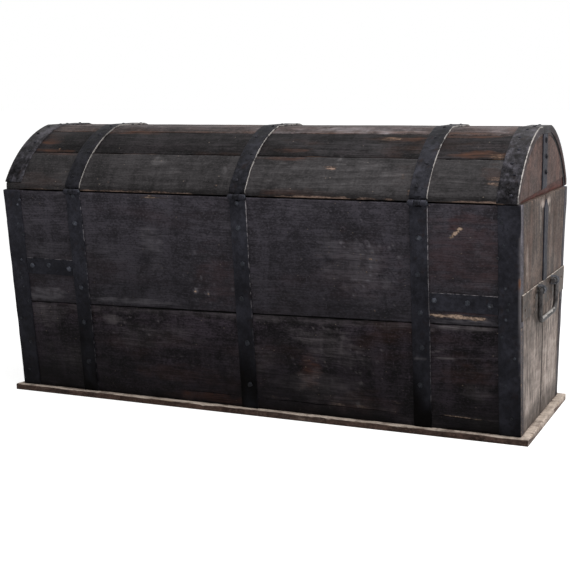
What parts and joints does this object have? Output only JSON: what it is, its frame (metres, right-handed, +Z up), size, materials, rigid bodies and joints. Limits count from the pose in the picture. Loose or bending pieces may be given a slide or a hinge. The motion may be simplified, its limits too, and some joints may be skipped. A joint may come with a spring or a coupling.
{
  "type": "storage chest",
  "caption": "Long wooden storage chest with a domed lid, leaning walls, nailed iron straps and corner irons, strap hinges, a hasp and drop handles on the ends.",
  "frame": {"origin": "middle of the underside of the base boards", "axes": "+Z up, +X along the length to the right as seen from the front, front (hasp side) at -Y, hinge side at +Y"},
  "size_m": [1.442, 0.5766, 0.7291],
  "materials": {
    "dark_wood": "aged, darkened and worn",
    "end_wood": "weathered",
    "base_wood": "worn, with a pale dusty top",
    "red_wood": "bare reddish wood",
    "strap_iron": "forged, blackened",
    "bar_iron": "forged, worn smooth"
  },
  "bodies": {
    "chest": {"back_board_lower": "dark_wood", "back_board_upper": "dark_wood", "base_board_back": "base_wood", "base_board_front": "base_wood", "base_board_middle": "base_wood", "corner_iron_back_left": "strap_iron", "corner_iron_back_right": "strap_iron", "corner_iron_front_left": "strap_iron", "corner_iron_front_right": "strap_iron", "end_band_left": "strap_iron", "end_band_right": "strap_iron", "end_strap_left": "strap_iron", "end_strap_right": "strap_iron", "front_board_lower": "dark_wood", "front_board_upper": "dark_wood", "front_strap_left": "strap_iron", "front_strap_middle": "strap_iron", "front_strap_right": "strap_iron", "handle_eyes_left": "strap_iron", "handle_eyes_right": "strap_iron", "hasp_staple": "strap_iron", "hinge_leaf_left": "strap_iron", "hinge_leaf_middle": "strap_iron", "hinge_leaf_right": "strap_iron", "hinge_pin_left": "bar_iron", "hinge_pin_middle": "bar_iron", "hinge_pin_right": "bar_iron", "left_end_board_back": "end_wood", "left_end_board_front": "end_wood", "right_end_board_back": "end_wood", "right_end_board_front": "end_wood", "side_strap_back_left": "strap_iron", "side_strap_back_right": "strap_iron", "side_strap_front_left": "strap_iron", "side_strap_front_right": "strap_iron"},
    "lid": {"hasp_pin": "bar_iron", "lid_end_band_left": "strap_iron", "lid_end_band_right": "strap_iron", "lid_end_board_left": "end_wood", "lid_end_board_right": "end_wood", "lid_end_rail_left": "red_wood", "lid_end_rail_right": "red_wood", "lid_end_strap_left": "strap_iron", "lid_end_strap_right": "strap_iron", "lid_stave_1": "dark_wood", "lid_stave_2": "dark_wood", "lid_stave_3": "dark_wood", "lid_stave_4": "dark_wood", "lid_stave_5": "dark_wood", "lid_stave_6": "dark_wood", "lid_strap_left": "strap_iron", "lid_strap_middle": "strap_iron", "lid_strap_right": "strap_iron"},
    "hasp": {"hasp": "strap_iron"},
    "handle_left": {"handle_left": "bar_iron"},
    "handle_right": {"handle_right": "bar_iron"}
  },
  "joints": [
    {"name": "lid_hinge", "type": "hinge", "parent": "chest", "child": "lid", "pos_m": [0, 0.2733, 0.563], "axis": [-1, 0, 0], "range_deg": [0, 105]},
    {"name": "hasp_hinge", "type": "hinge", "parent": "lid", "child": "hasp", "pos_m": [0, -0.2893, 0.57], "axis": [-1, 0, 0], "range_deg": [-12, 170]},
    {"name": "handle_left_swing", "type": "hinge", "parent": "chest", "child": "handle_left", "pos_m": [-0.71, 0, 0.345], "axis": [0, 1, 0], "range_deg": [0, 170]},
    {"name": "handle_right_swing", "type": "hinge", "parent": "chest", "child": "handle_right", "pos_m": [0.71, 0, 0.372], "axis": [0, -1, 0], "range_deg": [0, 170]}
  ]
}
